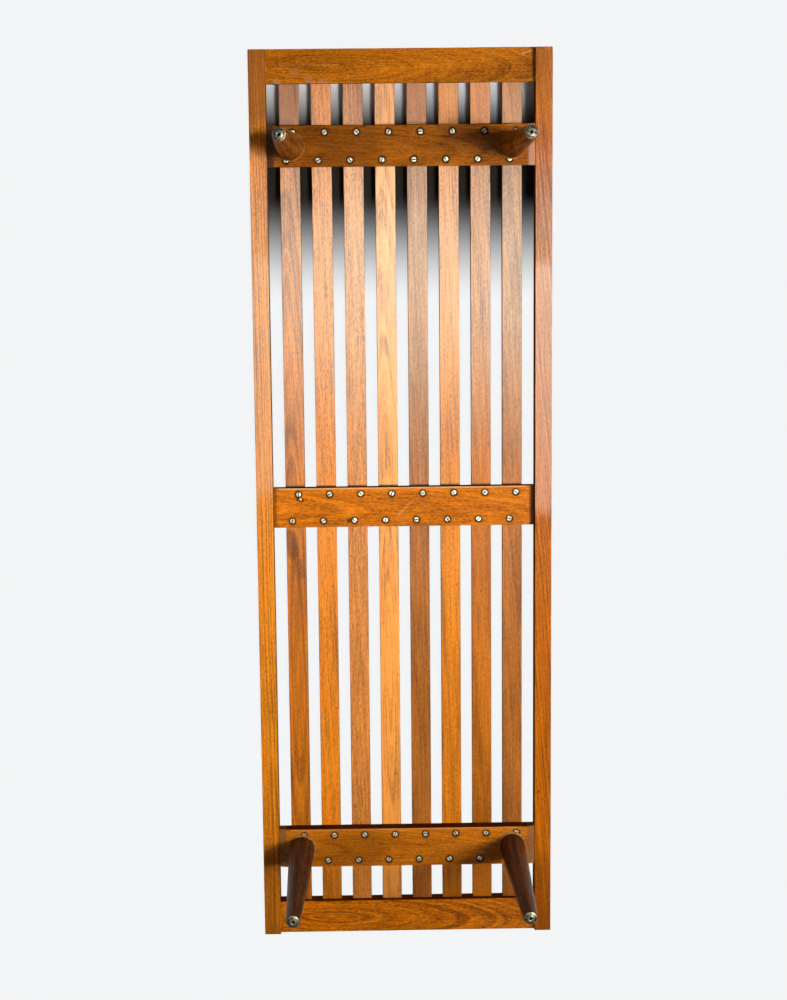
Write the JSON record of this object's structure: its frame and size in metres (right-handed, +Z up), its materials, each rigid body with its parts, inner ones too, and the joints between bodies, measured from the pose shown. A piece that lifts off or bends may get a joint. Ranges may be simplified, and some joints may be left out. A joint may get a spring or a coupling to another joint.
{
  "type": "slat bench",
  "caption": "Low mid-century slat bench: long rails and slats screwed to cross battens, on tapered splayed legs that unscrew.",
  "frame": {"origin": "on the floor under the middle of the bench", "axes": "+X along the length towards the head end, +Y across the width to the right, +Z up"},
  "size_m": [1.368, 0.45, 0.305],
  "materials": {
    "rail_wood": "satin",
    "batten_wood": "satin",
    "leg_wood": "satin",
    "dowel_wood": "matte",
    "screw_steel": "satin",
    "bolt_steel": "satin",
    "insert_brass": "satin",
    "glide_steel": "polished",
    "slat_wood_1": "satin",
    "slat_wood_2": "satin",
    "slat_wood_3": "satin",
    "slat_wood_4": "satin",
    "slat_wood_5": "satin",
    "slat_wood_6": "satin",
    "slat_wood_7": "satin",
    "slat_wood_8": "satin"
  },
  "bodies": {
    "bench": {"left_side_rail": "rail_wood", "right_side_rail": "rail_wood", "head_end_rail": "rail_wood", "foot_end_rail": "rail_wood", "slat_1": "slat_wood_1", "slat_2": "slat_wood_2", "slat_3": "slat_wood_3", "slat_4": "slat_wood_4", "slat_5": "slat_wood_5", "slat_6": "slat_wood_6", "slat_7": "slat_wood_7", "slat_8": "slat_wood_8", "head_leg_batten": "batten_wood", "middle_batten": "batten_wood", "foot_leg_batten": "batten_wood", "head_leg_batten_screws": "screw_steel", "middle_batten_screws": "screw_steel", "foot_leg_batten_screws": "screw_steel", "corner_dowels": "dowel_wood", "batten_dowels": "dowel_wood", "threaded_inserts": "insert_brass"},
    "head_left_bolt": {"head_left_hanger_bolt": "bolt_steel"},
    "head_left_leg": {"head_left_leg": "leg_wood", "head_left_glide": "glide_steel"},
    "head_right_bolt": {"head_right_hanger_bolt": "bolt_steel"},
    "head_right_leg": {"head_right_leg": "leg_wood", "head_right_glide": "glide_steel"},
    "foot_left_bolt": {"foot_left_hanger_bolt": "bolt_steel"},
    "foot_left_leg": {"foot_left_leg": "leg_wood", "foot_left_glide": "glide_steel"},
    "foot_right_bolt": {"foot_right_hanger_bolt": "bolt_steel"},
    "foot_right_leg": {"foot_right_leg": "leg_wood", "foot_right_glide": "glide_steel"}
  },
  "joints": [
    {"name": "head_left_leg_drop", "type": "slide", "parent": "bench", "child": "head_left_bolt", "axis": [0, 0, -1], "range_m": [0, 0.0148]},
    {"name": "head_left_leg_turn", "type": "hinge", "parent": "head_left_bolt", "child": "head_left_leg", "pos_m": [0.542, -0.1643, 0.268], "axis": [0, 0, -1], "range_deg": [0, 3772.8]},
    {"name": "head_right_leg_drop", "type": "slide", "parent": "bench", "child": "head_right_bolt", "axis": [0, 0, -1], "range_m": [0, 0.0148]},
    {"name": "head_right_leg_turn", "type": "hinge", "parent": "head_right_bolt", "child": "head_right_leg", "pos_m": [0.542, 0.1643, 0.268], "axis": [0, 0, -1], "range_deg": [0, 3772.8]},
    {"name": "foot_left_leg_drop", "type": "slide", "parent": "bench", "child": "foot_left_bolt", "axis": [0, 0, -1], "range_m": [0, 0.0148]},
    {"name": "foot_left_leg_turn", "type": "hinge", "parent": "foot_left_bolt", "child": "foot_left_leg", "pos_m": [-0.542, -0.1643, 0.268], "axis": [0, 0, -1], "range_deg": [0, 3772.8]},
    {"name": "foot_right_leg_drop", "type": "slide", "parent": "bench", "child": "foot_right_bolt", "axis": [0, 0, -1], "range_m": [0, 0.0148]},
    {"name": "foot_right_leg_turn", "type": "hinge", "parent": "foot_right_bolt", "child": "foot_right_leg", "pos_m": [-0.542, 0.1643, 0.268], "axis": [0, 0, -1], "range_deg": [0, 3772.8]}
  ],
  "couplings": [
    {"joint": "head_left_leg_drop", "follows": "head_left_leg_turn", "m_per_rad": 0.00022458},
    {"joint": "head_right_leg_drop", "follows": "head_right_leg_turn", "m_per_rad": 0.00022458},
    {"joint": "foot_left_leg_drop", "follows": "foot_left_leg_turn", "m_per_rad": 0.00022458},
    {"joint": "foot_right_leg_drop", "follows": "foot_right_leg_turn", "m_per_rad": 0.00022458}
  ]
}
